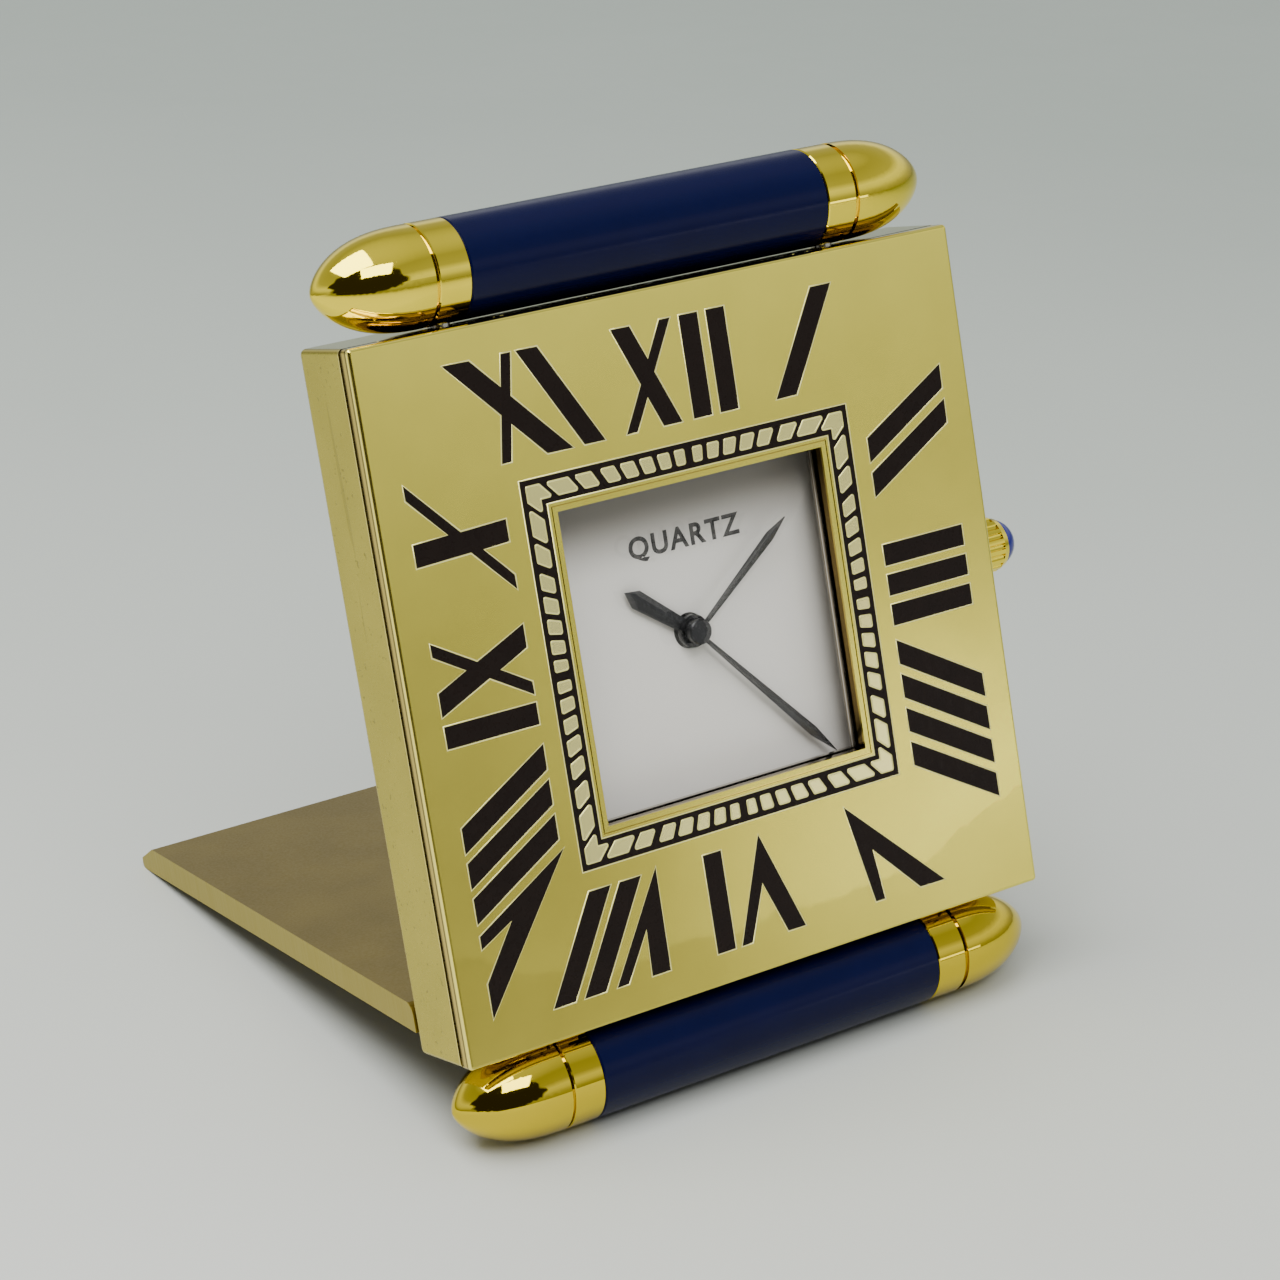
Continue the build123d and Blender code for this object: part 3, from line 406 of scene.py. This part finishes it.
MATERIALS = {
    "gilt_plate": plate_metal(),
    "gilt_case": case_metal(),
    "gilt_flap": flap_metal(),
    "gold_polished": mirror_gold(),
    "navy_lacquer": lacquer(),
    "black_enamel": enamel(),
    "crystal": crystal(),
    "seal_rubber": plain("seal_rubber", (0.09, 0.08, 0.06), 0.7),
    "rehaut_steel": rehaut(),
    "dial_paint": dial_paint(),
    "black_steel": plain("black_steel", (0.020, 0.020, 0.021), 0.25, 0.3),
    "holder_plastic": plain("holder_plastic", (0.03, 0.03, 0.033), 0.55),
    "plate_steel": plain("plate_steel", (0.50, 0.50, 0.50), 0.35, 1.0),
    "wheel_brass": works_brass(),
    "steel": plain("steel", (0.56, 0.56, 0.57), 0.28, 1.0),
    "stator_steel": plain("stator_steel", (0.35, 0.35, 0.36), 0.45, 1.0),
    "coil_copper": plain("coil_copper", (0.60, 0.25, 0.10), 0.35, 1.0),
    "board_green": plain("board_green", (0.01, 0.12, 0.05), 0.45),
    "can_chrome": plain("can_chrome", (0.75, 0.75, 0.76), 0.12, 1.0, swing=0.03),
    # the rims' pale gilt is partly a painted highlight
    "rim_gilt": plain("rim_gilt", (1.0, 0.93, 0.34), 0.35, 0.6),
    "lettering_ink": plain("lettering_ink", (0.010, 0.009, 0.009), 0.5),
    "navy_cabochon": plain("navy_cabochon", (0.003, 0.005, 0.20), 0.10, swing=0.03),
}


def dress_nodes():
    for part in frame["record"]["subparts"]:
        for slot in nodes[part["node"]].material_slots:
            slot.material = MATERIALS[part["material_slot"]]


# ---- details the frame leaves out --------------------------------------------------------------
def new_piece(name, data, material, body):
    made = bpy.data.objects.new(name, data)
    bpy.context.scene.collection.objects.link(made)
    data.materials.clear()
    data.materials.append(material)
    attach(made, body)
    return made


def front_outlines(node):
    """The closed outlines of a node's front faces, as lists of points in metres."""
    mesh = bmesh.new()
    mesh.from_mesh(nodes[node].data)
    bmesh.ops.remove_doubles(mesh, verts=mesh.verts, dist=0.001 * MM)
    mesh.faces.index_update()
    mesh.edges.index_update()
    front = {f.index for f in mesh.faces if f.normal.dot(INWARD) < -0.99}
    rim = {e.index: e for e in mesh.edges if sum(f.index in front for f in e.link_faces) == 1}
    loops = []
    while rim:
        edge = rim.pop(min(rim))      # the lowest index first, so that every run walks the same way
        loop = [edge.verts[0], edge.verts[1]]
        while True:
            following = next((e for e in loop[-1].link_edges if e.index in rim), None)
            if following is None:
                break
            del rim[following.index]
            loop.append(following.other_vert(loop[-1]))
        if loop[0] == loop[-1]:
            loops.append([v.co.copy() for v in loop[:-1]])
    mesh.free()
    return loops


RIM_R, RIM_SUNK = 0.13, 0.075      # bead round each enamelled shape, millimetres


def enamel_rim(node, name):
    """The bead of metal left standing round the enamel, coloured paler than the face's gilt as a painted
    highlight.
    """
    curve = bpy.data.curves.new(name, "CURVE")
    curve.dimensions = "3D"
    curve.bevel_depth = RIM_R * MM
    curve.bevel_resolution = 1
    for loop in front_outlines(node):
        spline = curve.splines.new("POLY")
        spline.points.add(len(loop) - 1)
        for point, place in zip(spline.points, loop):
            point.co = (*(place + INWARD * RIM_SUNK * MM), 1)
        spline.use_cyclic_u = True
    return new_piece(name, curve, MATERIALS["rim_gilt"], "case")


LETTER_SIZE, LETTER_BOLD, LETTER_THICK = 2.78, 0.075, 0.004      # millimetres; the strokes are swelled
LETTER_SPACING = 1.15
LETTERING_AT = (0.95, 4.585, 7.8)      # millimetres across the dial, into the case and up the dial


def dial_lettering():
    """A generic word where the dial carries one."""
    text = bpy.data.curves.new("dial_lettering", "FONT")
    text.body = "QUARTZ"
    text.align_x = "CENTER"
    text.size = LETTER_SIZE * MM
    text.space_character = LETTER_SPACING
    text.offset = LETTER_BOLD * MM
    text.extrude = LETTER_THICK * MM
    helper = bpy.data.objects.new("lettering_helper", text)
    bpy.context.scene.collection.objects.link(helper)
    mesh = bpy.data.meshes.new_from_object(helper)
    bpy.data.objects.remove(helper)
    columns = (ACROSS, UP_DIAL, -INWARD, in_case(*LETTERING_AT))
    mesh.transform(Matrix([[column[row] for column in columns] for row in range(3)] + [[0, 0, 0, 1]]))
    mesh.name = "dial_lettering"
    return new_piece("dial_lettering", mesh, MATERIALS["lettering_ink"], "case")


# ---- floor, light and camera -------------------------------------------------------------------
FLOOR_SIZE = 6.0
# The floor's colour at the front, and its painted shade far off.
FLOOR_NEAR, FLOOR_FAR_SHADE = (0.635, 0.640, 0.600), (0.312, 0.352, 0.316)
FADE_FROM, FADE_TO = -0.12, 0.38           # metres away from the front
FADE_POWER, FADE_SKEW = 0.55, 0.95         # how early it darkens, and how much it leans to the right


def make_floor():
    """A pale table with painted shade: it turns darker to the back and the right, as the light falls off."""
    s = Shader("floor")
    split = s.split(s.coords)
    away = s.add(s.times(split["X"], FADE_SKEW), split["Y"])
    painted_falloff = s.maths("POWER", s.remap(away, FADE_FROM, FADE_TO, 0, 1), FADE_POWER)
    mottle = s.remap(s.noise(0.01, 2.0), FINE_LOW, FINE_HIGH, -0.03, 0.03)
    s.colour(s.tint(s.add(painted_falloff, mottle), FLOOR_NEAR, FLOOR_FAR_SHADE))
    s.gloss(s.noise(0.05), 0.55, 0.7)
    half = FLOOR_SIZE / 2
    corners = [(-half, -half, 0), (half, -half, 0), (half, half, 0), (-half, half, 0)]
    mesh = bpy.data.meshes.new("floor")
    mesh.from_pydata(corners, [], [(0, 1, 2, 3)])
    mesh.materials.append(s.material)
    floor = bpy.data.objects.new("floor", mesh)
    bpy.context.scene.collection.objects.link(floor)


ROOM = (                               # height above the horizon, from 0 to 1, and brightness
    (0.0, 0.42), (0.10, 0.62), (0.22, 1.10), (0.33, 1.25),
    (0.48, 0.62), (0.72, 0.52), (0.88, 0.85), (1.0, 1.0),
)
ROOM_STRENGTH, ROOM_RED = 0.85, 0.97
DARK_CORNER = Vector((-0.47, -0.77, 0.42))      # direction of the dark corner behind the camera
CORNER_FROM, CORNER_TO, CORNER_RAGGED = 1.00, 1.05, 0.5


def make_room():
    """A pale wall that is dimmer higher up, with a ragged dark corner behind the camera."""
    world = bpy.data.worlds.new("studio")
    world.use_nodes = True
    bpy.context.scene.world = world
    room = NodeTree(world.node_tree)
    direction = room.node("ShaderNodeTexCoord").outputs["Generated"]
    ramp = room.node("ShaderNodeValToRGB")
    elements = ramp.color_ramp.elements
    while len(elements) < len(ROOM):
        elements.new(0.5)
    for element, (place, level) in zip(elements, ROOM):
        element.position = place
        element.color = (level * ROOM_RED, level, level, 1)
    room.link(room.split(direction)["Z"], ramp.inputs["Fac"])
    towards = room.node("ShaderNodeVectorMath", operation="DOT_PRODUCT")
    towards.inputs[1].default_value = DARK_CORNER.normalized()
    room.link(direction, towards.inputs[0])
    ragged = room.node("ShaderNodeTexNoise")
    ragged.inputs["Scale"].default_value = 2.6
    ragged.inputs["Detail"].default_value = 1.0
    room.link(direction, ragged.inputs["Vector"])
    shaped = room.add(room.times(ragged.outputs["Fac"], CORNER_RAGGED), towards.outputs["Value"])
    corner = room.remap(shaped, CORNER_FROM, CORNER_TO, 0, 1)
    background = room.tree.nodes["Background"]
    room.link(room.tint(corner, ramp.outputs["Color"], (0.035, 0.030, 0.022)), background.inputs["Color"])
    background.inputs["Strength"].default_value = ROOM_STRENGTH


LIGHTS = {      # place and target in metres, width and height in metres, power in watts
    "window": ((-0.35, 0.05, 0.95), (0, 0, 0.04), 0.9, 0.6, 13.0),
    "front_window": ((-0.15, -0.60, 0.80), (0, -0.05, 0.02), 0.5, 0.4, 5.0),
    "table_glow": ((0.47, -0.70, 0.050), (0, 0, 0.03), 0.14, 0.05, 0.055),
}


def area_light(name, location, target, width, height, power):
    data = bpy.data.lights.new(name, "AREA")
    data.shape = "RECTANGLE"
    data.size, data.size_y, data.energy = width, height, power
    lamp = bpy.data.objects.new(name, data)
    lamp.location = location
    lamp.rotation_mode = "QUATERNION"
    lamp.rotation_quaternion = (Vector(target) - Vector(location)).to_track_quat("-Z", "Y")
    bpy.context.scene.collection.objects.link(lamp)


CAMERA_AT = Vector((-0.16713, -0.25259, 0.17443))
CAMERA_TURN, CAMERA_DROP, CAMERA_ROLL = 34.016, 25.353, 0.834     # degrees
LENS, SENSOR = 95.55, 36.0                                        # millimetres


def make_camera():
    data = bpy.data.cameras.new("camera")
    data.lens = LENS
    data.sensor_width = SENSOR
    camera = bpy.data.objects.new("camera", data)
    turn, drop = math.radians(CAMERA_TURN), math.radians(CAMERA_DROP)
    ahead = Vector((math.sin(turn) * math.cos(drop), math.cos(turn) * math.cos(drop), -math.sin(drop)))
    camera.location = CAMERA_AT
    camera.rotation_mode = "QUATERNION"
    roll = Quaternion((0, 0, 1), math.radians(CAMERA_ROLL))
    camera.rotation_quaternion = ahead.to_track_quat("-Z", "Y") @ roll
    bpy.context.scene.collection.objects.link(camera)
    bpy.context.scene.camera = camera


dress_nodes()
enamel_rim("hour_enamel", "hour_rims")
enamel_rim("track_enamel", "track_rims")
dial_lettering()
make_floor()
make_room()
for name, settings in LIGHTS.items():
    area_light(name, *settings)
make_camera()
